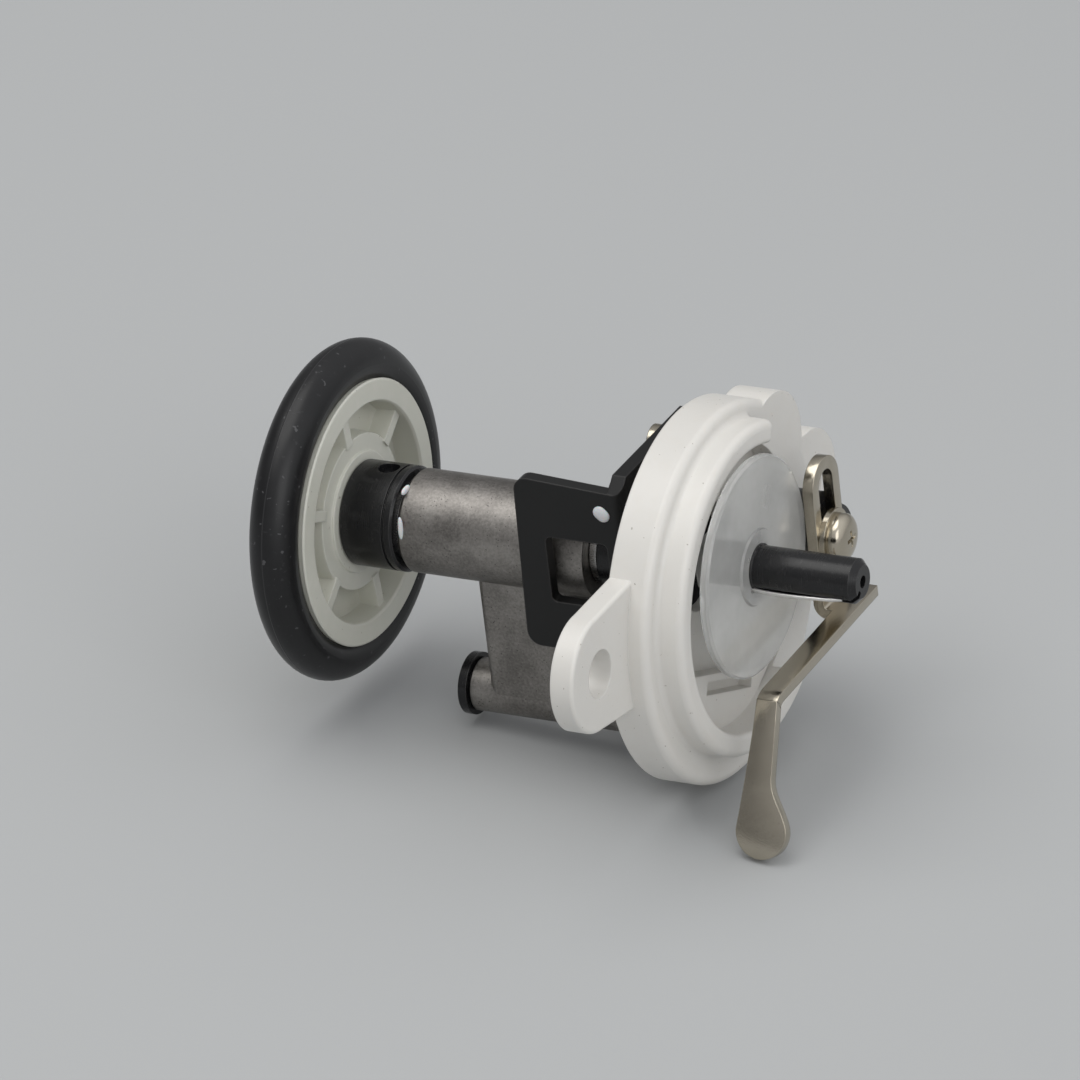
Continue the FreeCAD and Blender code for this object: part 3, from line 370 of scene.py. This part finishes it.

# %% [markdown]
# ## Metals
#
# Six metal finishes are on the object. Two are black. Black oxide on the spindle and
# collar is half glossy, with fine turning rings along X, and the bracket is painted satin
# black. The black oxide wears at the edges, where the rounded normal leaves the true one,
# and there the bracket's edges are painted grey: a painted highlight with some wear.

# %% Black finishes
def black_oxide_finish():
    f = Finish("steel_black")
    place = f.place()
    cloud = f.noise(place, 0.35, 4.0)
    rings = f.noise(f.stretched(place, 9.0, 0.15, 0.15), 1.0, 2.0)
    soft = f.rounded(0.12)
    edge_wear_and_highlight = f.edge(soft)
    scuff = f.noise(place, 1.6, 3.0).over(0.66, 0.05)
    colour = f.blend(cloud, (0.006, 0.006, 0.007), (0.013, 0.013, 0.0135))
    colour = f.blend(edge_wear_and_highlight * 0.35 + scuff * 0.06, colour, (0.22, 0.215, 0.21))
    rough = cloud * 0.14 + rings * 0.08 + 0.15
    normal = f.bump(rings, 0.004, 0.5, soft)
    shader = f.surface(Base_Color=colour, Roughness=rough, Metallic=edge_wear_and_highlight * 0.6, Normal=normal,
                       Specular_IOR_Level=0.38)
    return f.done(shader)


def black_paint_finish():
    f = Finish("steel_painted")
    place = f.place()
    cloud = f.noise(place, 0.2, 3.0)
    skin = f.noise(place, 3.5, 2.0)
    soft = f.rounded(0.3)
    edge_wear_and_highlight = f.edge(soft)
    colour = f.blend(cloud, (0.005, 0.005, 0.005), (0.009, 0.009, 0.009))
    # Painted highlight with some wear: the bracket's edges are painted grey, where they would catch
    # the light.
    colour = f.blend(edge_wear_and_highlight * 0.22, colour, (0.16, 0.155, 0.15))
    rough = cloud * 0.14 + skin * 0.06 + 0.30
    normal = f.bump(skin + cloud * 2.0, 0.006, 0.5, soft)
    shader = f.surface(Base_Color=colour, Roughness=rough, Normal=normal, Specular_IOR_Level=0.33)
    return f.done(shader)


steel_black = black_oxide_finish()
steel_painted = black_paint_finish()
print("black finishes made")

# %% [markdown]
# The housing is pressed from powder and then fired. That leaves a grey, porous and
# speckled skin, so its colour follows a cloud and a fine grain together, and small dark
# pits are cut into it by a cell pattern.

# %% Sintered steel finish
def sintered_finish():
    f = Finish("sintered_steel")
    place = f.place()
    cloud = f.noise(place, 0.22, 4.0)
    grain = f.noise(place, 2.6, 4.0, 0.65)
    pore = f.cells(place, 2.1)
    pits = (1 - pore.over(0.16, 0.07)) * f.noise(place, 0.8, 2.0).over(0.52, 0.06)
    drawn = f.noise(f.stretched(place, 0.35, 3.2, 3.2), 1.0, 3.0)
    soft = f.rounded(0.2)
    edge_wear_and_highlight = f.edge(soft)
    speckle = (cloud * 0.5 + grain * 0.5).over(0.5, 0.22)
    colour = f.blend(speckle, (0.16, 0.150, 0.140), (0.36, 0.342, 0.320))
    colour = f.blend(pits * 0.75, colour, (0.05, 0.047, 0.045))
    colour = f.blend(edge_wear_and_highlight * 0.35, colour, (0.42, 0.41, 0.39))
    rough = grain * 0.22 + drawn * 0.10 + pits * 0.2 + 0.27
    normal = f.bump(grain * 0.8 + drawn * 0.5 - pits * 1.5, 0.014, 0.75, soft)
    shader = f.surface(Base_Color=colour, Roughness=rough, Metallic=1.0, Normal=normal)
    return f.done(shader)


sintered_steel = sintered_finish()
print("sintered steel made")

# %% [markdown]
# The lever and the screws are nickel plated over a lightly textured strip, so the plating
# keeps a soft grain. Pins, springs and bushes are plain drawn metal. They share one
# function, which takes the two tones and the roughness.

# %% Nickel, bright steel and bronze
def nickel_finish():
    f = Finish("nickel")
    place = f.place()
    cloud = f.noise(place, 0.3, 3.0)
    grain = f.noise(place, 5.0, 2.0)
    speck = f.noise(place, 2.4, 1.0).over(0.72, 0.03)
    soft = f.rounded(0.15)
    colour = f.blend(cloud, (0.44, 0.40, 0.325), (0.53, 0.485, 0.40))
    colour = f.blend(speck * 0.35, colour, (0.25, 0.22, 0.18))
    rough = cloud * 0.08 + grain * 0.10 + 0.09
    normal = f.bump(grain + cloud, 0.009, 0.8, soft)
    shader = f.surface(Base_Color=colour, Roughness=rough, Metallic=1.0, Normal=normal)
    return f.done(shader)


def bright_metal_finish(name, dark, light, roughness):
    f = Finish(name)
    place = f.place()
    cloud = f.noise(place, 0.5, 3.0)
    drawn = f.noise(f.stretched(place, 0.4, 4.0, 4.0), 1.0, 3.0)
    colour = f.blend(cloud, dark, light)
    rough = drawn * 0.14 + cloud * 0.08 + roughness
    normal = f.bump(drawn, 0.004, 0.5, f.rounded(0.1))
    shader = f.surface(Base_Color=colour, Roughness=rough, Metallic=1.0, Normal=normal)
    return f.done(shader)


nickel = nickel_finish()
steel_bright = bright_metal_finish("steel_bright", (0.50, 0.49, 0.48), (0.62, 0.61, 0.60), 0.16)
bronze = bright_metal_finish("bronze", (0.34, 0.22, 0.10), (0.48, 0.33, 0.17), 0.26)
print("nickel, bright steel and bronze made")

# %% [markdown]
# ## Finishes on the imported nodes
#
# The record says which finish each node has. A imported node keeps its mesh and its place,
# so only its material slots change. The hub shares the cover's slot but is creamier.

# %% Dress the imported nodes
FINISHES = {
    "rubber_black": rubber_black, "plastic_white": plastic_white, "plastic_clear": plastic_clear,
    "steel_black": steel_black, "steel_painted": steel_painted, "steel_bright": steel_bright,
    "sintered_steel": sintered_steel, "bronze": bronze, "nickel": nickel,
}
for part in frame["record"]["subparts"]:
    node = frame["nodes"][part["node"]]
    node.data.materials.clear()
    node.data.materials.append(FINISHES[part["material_slot"]])
frame["nodes"]["wheel_hub"].data.materials[0] = plastic_cream

# %% [markdown]
# ## The presser lever
#
# This bright lever is one strip of sheet: a slotted plate, a fold forwards, a long arm
# across the front of the disc, an elbow, and a leg that flares into a round paddle. It
# could be cut from a block, but it is bent from flat stock, so it is modelled the same
# way: as a skin with no thickness that is extruded round each bend. A half disc gives the
# rounded top, and its straight side is extruded down, forwards and then across.

# %% Draw the plate and fold out the arm
PLATE_X = -6.25
FRONT_X = -1.4
ARM_X = -4.3
MID_Y = 17.8
TOP_Z = 3.2
ARM_Z = -14.05
ELBOW_Y = -9.1
HALF_WIDTH = 4.0


def extrude_edge(step):
    bpy.ops.mesh.extrude_region_move(TRANSFORM_OT_translate={"value": step})


def near(value, target, slack=0.02):
    return abs(value - target) < slack


deselect()
bpy.ops.mesh.primitive_circle_add(vertices=48, radius=HALF_WIDTH * MM, fill_type="NGON",
                                  location=mm(PLATE_X, MID_Y, TOP_Z),
                                  rotation=(0, math.pi / 2, 0))
presser = bpy.context.object
presser.name = "presser"
settle(presser)
pick(presser, lambda p: True)
bpy.ops.mesh.bisect(plane_co=mm(0, 0, TOP_Z), plane_no=(0, 0, 1), clear_inner=True)
pick(presser, lambda p: near(p.z, TOP_Z), "EDGE")
extrude_edge(mm(0, 0, ARM_Z - TOP_Z))
pick(presser, lambda p: near(p.z, ARM_Z), "EDGE")
extrude_edge(mm(FRONT_X - PLATE_X, 0, 0))
bpy.ops.mesh.select_all(action="SELECT")
bpy.ops.mesh.bisect(plane_co=mm(ARM_X, 0, 0), plane_no=(1, 0, 0))
INNER_Y = MID_Y - HALF_WIDTH
pick(presser, lambda p: near(p.z, ARM_Z) and near(p.y, INNER_Y) and p.x > ARM_X - 0.02, "EDGE")
extrude_edge(mm(0, ELBOW_Y - INNER_Y, 0))
bpy.ops.object.mode_set(mode="OBJECT")
print("plate, fold and arm:", len(presser.data.vertices), "vertices")

# %% [markdown]
# The leg is extruded in short steps down its slope. After each step the two ends of the
# new edge are slid to the outline that belongs there, so the leg flares smoothly and the
# last steps run round the paddle.

# %% Grow the leg and the paddle
LEG_WAY = Vector((0.0, -0.379, -0.9254)).normalized()
LEG_LENGTH = 17.43
FLARE_START = 10.5
PADDLE_RADIUS = 3.6
PADDLE_X = -2.30
FINE = 0.004


def leg_sides(along):
    """The left and right edges of the leg (X, in mm) at a distance from the elbow."""
    left, right = ARM_X, FRONT_X
    left += (PADDLE_X - PADDLE_RADIUS - ARM_X) * min(1.0, along / LEG_LENGTH) ** 1.3
    ahead = along - LEG_LENGTH
    flare = max(0.0, min(1.0, (along - FLARE_START) / (LEG_LENGTH - FLARE_START)))
    right += (PADDLE_X + PADDLE_RADIUS - FRONT_X) * flare * flare * (3 - 2 * flare)
    if ahead > 0:
        half = math.sqrt(max(0.0, PADDLE_RADIUS ** 2 - ahead ** 2))
        left, right = PADDLE_X - half, PADDLE_X + half
    return left, right


def stations():
    """Distances from the elbow: even along the leg, then closer round the paddle."""
    straight = [0.6, 3.5, 7.0] + [FLARE_START + 0.87 * i for i in range(8)]
    angles = (0, 12, 24, 36, 48, 58, 67, 75, 82, 87)
    round_end = [LEG_LENGTH + PADDLE_RADIUS * math.sin(math.radians(a)) for a in angles]
    return straight + round_end


def spot_on_leg(along):
    return Vector((0, ELBOW_Y, ARM_Z)) + LEG_WAY * along


def grow_leg():
    here = 0.0
    sides = (ARM_X, FRONT_X)
    spot = spot_on_leg(0.0)
    for along in stations():
        pick(presser, lambda p: near(p.y, spot.y, FINE) and near(p.z, spot.z, FINE), "EDGE")
        extrude_edge(LEG_WAY * (along - here) * MM)
        here = along
        spot = spot_on_leg(along)
        wanted = leg_sides(along)
        for side in (0, 1):
            pick(presser, lambda p: near(p.x, sides[side], FINE) and near(p.y, spot.y, FINE)
                 and near(p.z, spot.z, FINE))
            bpy.ops.transform.translate(value=mm(wanted[side] - sides[side], 0, 0))
        sides = wanted
    bpy.ops.object.mode_set(mode="OBJECT")


grow_leg()
print("leg and paddle:", len(presser.data.polygons), "faces")

# %% [markdown]
# The two folds are bevelled while the skin is still thin, and only then is it made 1.5 mm
# thick, so the inside and the outside of each bend stay parallel. The slot is cut last,
# and every sharp edge gets the small round that the press tool and the plating leave.

# %% Bend, thicken, slot and round the lever
SHEET = 1.5
SLOT_RADIUS = 2.2
SLOT_LOW = -5.6
SLOT_HIGH = 3.2


def bend(rule, radius, steps):
    """Rounds a fold of the skin."""
    count = pick(presser, rule, "EDGE")
    bpy.ops.mesh.bevel(offset=radius * MM, segments=steps, affect="EDGES")
    bpy.ops.object.mode_set(mode="OBJECT")
    return count


folds = bend(lambda p: near(p.x, PLATE_X) and near(p.z, ARM_Z), 1.2, 6)
folds += bend(lambda p: near(p.y, ELBOW_Y, 0.01) and near(p.z, ARM_Z, 0.01), 1.5, 7)
modify(presser, "SOLIDIFY", thickness=SHEET * MM, offset=0.0, use_even_offset=True)


def slot_cutter():
    """A long round-ended peg: a cylinder whose upper half is pulled up."""
    deselect()
    bpy.ops.mesh.primitive_cylinder_add(vertices=40, radius=SLOT_RADIUS * MM, depth=6 * MM,
                                        location=mm(PLATE_X, MID_Y, SLOT_LOW),
                                        rotation=(0, math.pi / 2, 0))
    cutter = bpy.context.object
    settle(cutter)
    pick(cutter, lambda p: p.z > SLOT_LOW + 0.01)
    bpy.ops.transform.translate(value=mm(0, 0, SLOT_HIGH - SLOT_LOW))
    bpy.ops.object.mode_set(mode="OBJECT")
    return cutter


peg = slot_cutter()
modify(presser, "BOOLEAN", operation="DIFFERENCE", solver="EXACT", object=peg)
bpy.data.objects.remove(peg)
modify(presser, "BEVEL", width=0.32 * MM, segments=3, limit_method="ANGLE",
       angle_limit=math.radians(50))
face_out(presser)
finish_piece(presser, "trip_lever", nickel, 40)
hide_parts("presser_lever")
print("folds bent:", folds)

# %% [markdown]
# ## The clamp screw
#
# The screw that clamps the plate has a pan head with a domed face and a cross recess. A
# cylinder gives the head, and its front face is inset and drawn out in rings to make the
# dome. The recess is cut with a tapered cross, so that its walls lean in.

# %% Model the screw
SCREW = (MID_Y, -4.4)
SEAT_X = -4.7
RIM_HEIGHT = 1.2
DOME_STEPS = ((0.22, 0.34), (0.38, 0.32), (0.55, 0.24), (0.65, 0.12), (0.7, 0.05))


def screw_head():
    deselect()
    bpy.ops.mesh.primitive_cylinder_add(vertices=64, radius=3.3 * MM, depth=RIM_HEIGHT * MM,
                                        location=mm(SEAT_X + RIM_HEIGHT / 2, *SCREW),
                                        rotation=(0, math.pi / 2, 0))
    head = bpy.context.object
    head.name = "clamp_screw"
    settle(head)
    pick(head, lambda p: near(p.x, SEAT_X + RIM_HEIGHT), "FACE")
    for inset, rise in DOME_STEPS:
        bpy.ops.mesh.inset(thickness=inset * MM)
        bpy.ops.transform.translate(value=mm(rise, 0, 0))
    pick(head, lambda p: near(p.x, SEAT_X), "FACE")
    bpy.ops.mesh.inset(thickness=1.8 * MM)
    extrude_edge(mm(-5.0, 0, 0))
    bpy.ops.object.mode_set(mode="OBJECT")
    return head


def cross_cutter():
    """Two crossed bars whose inner ends are pinched, joined as one cutter."""
    bars = []
    for turn in (0, 1):
        deselect()
        bpy.ops.mesh.primitive_cube_add(size=1.0, location=mm(SEAT_X + 2.4, *SCREW))
        bar = bpy.context.object
        long_side, short_side = 3.4, 0.8
        across, upright = (long_side, short_side) if turn else (short_side, long_side)
        bar.scale = mm(2.6, across, upright)
        settle(bar)
        pick(bar, lambda p: p.x < SEAT_X + 2.0)
        bpy.ops.transform.resize(value=(1, 0.5, 0.5))
        bpy.ops.object.mode_set(mode="OBJECT")
        bars.append(bar)
    only(bars[0])
    modify(bars[0], "BOOLEAN", operation="UNION", solver="EXACT", object=bars[1])
    bpy.data.objects.remove(bars[1])
    return bars[0]


clamp_screw = screw_head()
cross = cross_cutter()
modify(clamp_screw, "BOOLEAN", operation="DIFFERENCE", solver="EXACT", object=cross)
bpy.data.objects.remove(cross)
modify(clamp_screw, "BEVEL", width=0.07 * MM, segments=2, limit_method="ANGLE",
       angle_limit=math.radians(42))
face_out(clamp_screw)
finish_piece(clamp_screw, "trip_lever", nickel, 35)
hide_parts("presser_screw")

# %% [markdown]
# ## The wire clip
#
# A bright spring wire lies along the spindle's nose and bows out a little to grip the
# bobbin. A curve with a round bevel is the natural way to model a wire: a few points give
# its run, and the curve is turned into a mesh at the end.

# %% Bend the wire
WIRE_RADIUS = 0.27
WIRE_TURN = math.radians(-142.0)
WIRE_RUN = ((-8.2, 2.95), (-6.6, 3.22), (-4.0, 3.36), (-1.0, 3.36),
            (2.0, 3.22), (4.2, 3.12), (5.6, 2.8))


def wire_clip():
    """A wire through points that are given along the spindle and out from its axis."""
    deselect()
    bpy.ops.curve.primitive_nurbs_path_add(location=(0, 0, 0))
    wire = bpy.context.object
    wire.name = "wire_clip"
    line = wire.data
    line.splines.clear()
    path = line.splines.new("NURBS")
    path.points.add(len(WIRE_RUN) - 1)
    for point, (along, out) in zip(path.points, WIRE_RUN):
        spot = mm(along, out * math.cos(WIRE_TURN), out * math.sin(WIRE_TURN))
        point.co = (*spot, 1.0)
    path.use_endpoint_u = True
    path.order_u = 3
    line.bevel_depth = WIRE_RADIUS * MM
    line.bevel_resolution = 4
    line.resolution_u = 10
    line.use_fill_caps = True
    only(wire)
    bpy.ops.object.convert(target="MESH")
    settle(wire)
    return wire


wire = wire_clip()
face_out(wire)
wire_bright = bright_metal_finish("wire_bright", (0.80, 0.79, 0.77), (0.88, 0.87, 0.85), 0.22)
finish_piece(wire, "spindle", wire_bright, 60)
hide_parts("thread_clip")

# %% [markdown]
# ## Grease
#
# White grease has squeezed out of the bearing at the collar, and a drop of it sits on the
# flange. A drop starts as an icosphere that is flattened against what it sits on, and is
# then made uneven by pushing one side of it out.

# %% Grease finish and drops
def grease_finish():
    f = Finish("grease")
    place = f.place()
    cloud = f.noise(place, 1.2, 3.0)
    colour = f.blend(cloud, (0.62, 0.63, 0.66), (0.78, 0.79, 0.80))
    normal = f.bump(cloud, 0.03, 0.6)
    shader = f.surface(Base_Color=colour, Roughness=cloud * 0.25 + 0.22, Normal=normal,
                       Subsurface_Weight=0.3, Subsurface_Scale=0.001)
    return f.done(shader)


grease = grease_finish()


def grease_drop(name, place, radii, body, push):
    """A flattened, uneven drop: its radii are along X, Y and Z, and one side is pushed out."""
    deselect()
    bpy.ops.mesh.primitive_ico_sphere_add(subdivisions=4, radius=MM, location=mm(*place))
    drop = bpy.context.object
    drop.name = name
    drop.scale = radii
    settle(drop)
    centre, way = Vector(place), Vector(push)
    pick(drop, lambda p: (p - centre).dot(way) > 0.55 * max(radii) * way.length)
    bpy.ops.transform.translate(value=way * MM, use_proportional_edit=True,
                                proportional_edit_falloff="SMOOTH",
                                proportional_size=max(radii) * MM)
    bpy.ops.object.mode_set(mode="OBJECT")
    finish_piece(drop, body, grease, 80)


grease_drop("grease_collar", (-56.3, -6.8, 2.0), (0.35, 0.35, 1.4), "swing_arm", (0.1, 0, 0.6))
grease_drop("grease_joint", (-56.7, -3.3, 6.3), (0.3, 0.9, 0.5), "swing_arm", (0, -0.4, 0))
grease_drop("grease_flange", (-24.62, -9.25, 10.3), (1.0, 0.4, 0.95), "base", (0.35, 0, -0.35))
print("grease placed")

# %% [markdown]
# ## The floor
#
# The mechanism was laid on a pale table. It rests on the pivot's clip and on the rim of
# the cover, so the table is a plane that touches both, a little tilted to the spindle.
# Seen from below it is clear, so that a low view still shows the object. Its tone, and
# not extra light, makes the pale background.

# %% Floor and backdrop
UP = Vector((0.103, 0.032, 0.994)).normalized()


def floor_level():
    """The lowest reach of the object along the table's normal."""
    low = 1.0
    for node in frame["nodes"].values():
        for vertex in node.data.vertices:
            low = min(low, (node.matrix_world @ vertex.co).dot(UP))
    return low


def floor_finish():
    f = Finish("table_grey")
    place = f.place()
    cloud = f.noise(place, 0.004, 2.0)
    colour = f.blend(cloud, (0.452, 0.460, 0.462), (0.425, 0.434, 0.436))
    top = f.surface(Base_Color=colour, Roughness=0.75, Specular_IOR_Level=0.2)
    clear = f.node("ShaderNodeBsdfTransparent")
    under = f.node("ShaderNodeNewGeometry", output=6)
    shader = f.node("ShaderNodeMixShader", inputs={0: under, 1: top, 2: clear})
    return f.done(shader)


deselect()
bpy.ops.mesh.primitive_plane_add(size=6.0, location=UP * (floor_level() - 0.02 * MM),
                                 rotation=UP.to_track_quat("Z", "Y").to_euler())
table = bpy.context.object
table.name = "table"
settle(table)
table.data.materials.append(floor_finish())
print("table level", round(floor_level() / MM, 2), "mm along its normal")

# %% [markdown]
# ## Light
#
# One large soft lamp overhead gives the bright tops and the soft shadows, and a weak one
# at the front right lifts the faces that look along the spindle. The world is a plain
# surround that is pale above and to the right and dim at the lower left. The dim side is
# what the polished metal mirrors, so the lever's leg and paddle turn dark there.

# %% Lamps and world
def soft_lamp(name, place, aim, size, power, tint=(1.0, 1.0, 1.0)):
    lamp = bpy.data.lights.new(name, "AREA")
    lamp.shape = "SQUARE"
    lamp.size = size
    lamp.energy = power
    lamp.color = tint
    holder = bpy.data.objects.new(name, lamp)
    bpy.context.scene.collection.objects.link(holder)
    holder.location = place
    holder.rotation_euler = (Vector(place) - Vector(aim)).to_track_quat("Z", "Y").to_euler()
    return holder


MIDDLE = (-0.03, 0, 0)
soft_lamp("key_lamp", (-0.20, -0.12, 0.85), MIDDLE, 0.75, 3.7, (1.0, 0.99, 0.97))
soft_lamp("front_lamp", (0.95, -0.75, 0.65), MIDDLE, 0.9, 3.6)


DIM_TONE = (0.21, 0.21, 0.212, 1)
PALE_TONE = (0.86, 0.87, 0.89, 1)
SEEN_TONE = (0.47, 0.48, 0.485, 1)
BRIGHT_SIDE = (0.62, -0.10, 0.78)


def build_world():
    """A surround that pales towards its bright side; the camera sees one plain tone."""
    world = bpy.data.worlds.new("studio")
    bpy.context.scene.world = world
    world.use_nodes = True
    tree = world.node_tree
    tree.nodes.clear()
    way = tree.nodes.new("ShaderNodeTexCoord")
    lean = tree.nodes.new("ShaderNodeVectorMath")
    rise = tree.nodes.new("ShaderNodeMapRange")
    tone = tree.nodes.new("ShaderNodeMix")
    seen = tree.nodes.new("ShaderNodeLightPath")
    choose = tree.nodes.new("ShaderNodeMix")
    glow = tree.nodes.new("ShaderNodeBackground")
    out = tree.nodes.new("ShaderNodeOutputWorld")
    tone.data_type = choose.data_type = "RGBA"
    rise.inputs["From Min"].default_value = -0.1
    rise.inputs["From Max"].default_value = 0.9
    tone.inputs[6].default_value = DIM_TONE
    tone.inputs[7].default_value = PALE_TONE
    choose.inputs[7].default_value = SEEN_TONE
    lean.operation = "DOT_PRODUCT"
    lean.inputs[1].default_value = BRIGHT_SIDE
    link = tree.links.new
    link(way.outputs["Generated"], lean.inputs[0])
    link(lean.outputs["Value"], rise.inputs["Value"])
    link(rise.outputs[0], tone.inputs[0])
    link(tone.outputs[2], choose.inputs[6])
    link(seen.outputs["Is Camera Ray"], choose.inputs[0])
    link(choose.outputs[2], glow.inputs[0])
    link(glow.outputs[0], out.inputs[0])


build_world()
print("lamps and world set")

# %% [markdown]
# ## Camera
#
# A long lens stood about a metre away: the two ellipses of the wheel and of the disc have
# the same shape, which only a nearly parallel view gives.

# %% Camera
lens = bpy.data.cameras.new("camera")
lens.lens = 250.0
lens.sensor_width = 36.0
lens.clip_start = 0.05
lens.clip_end = 20.0
camera = bpy.data.objects.new("camera", lens)
bpy.context.scene.collection.objects.link(camera)
camera.location = (0.398328, -0.760124, 0.456347)
camera.rotation_euler = [math.radians(v) for v in (62.314355, 6.100374, 26.738635)]
bpy.context.scene.camera = camera
bpy.context.scene.view_settings.view_transform = "Standard"
print("camera set")
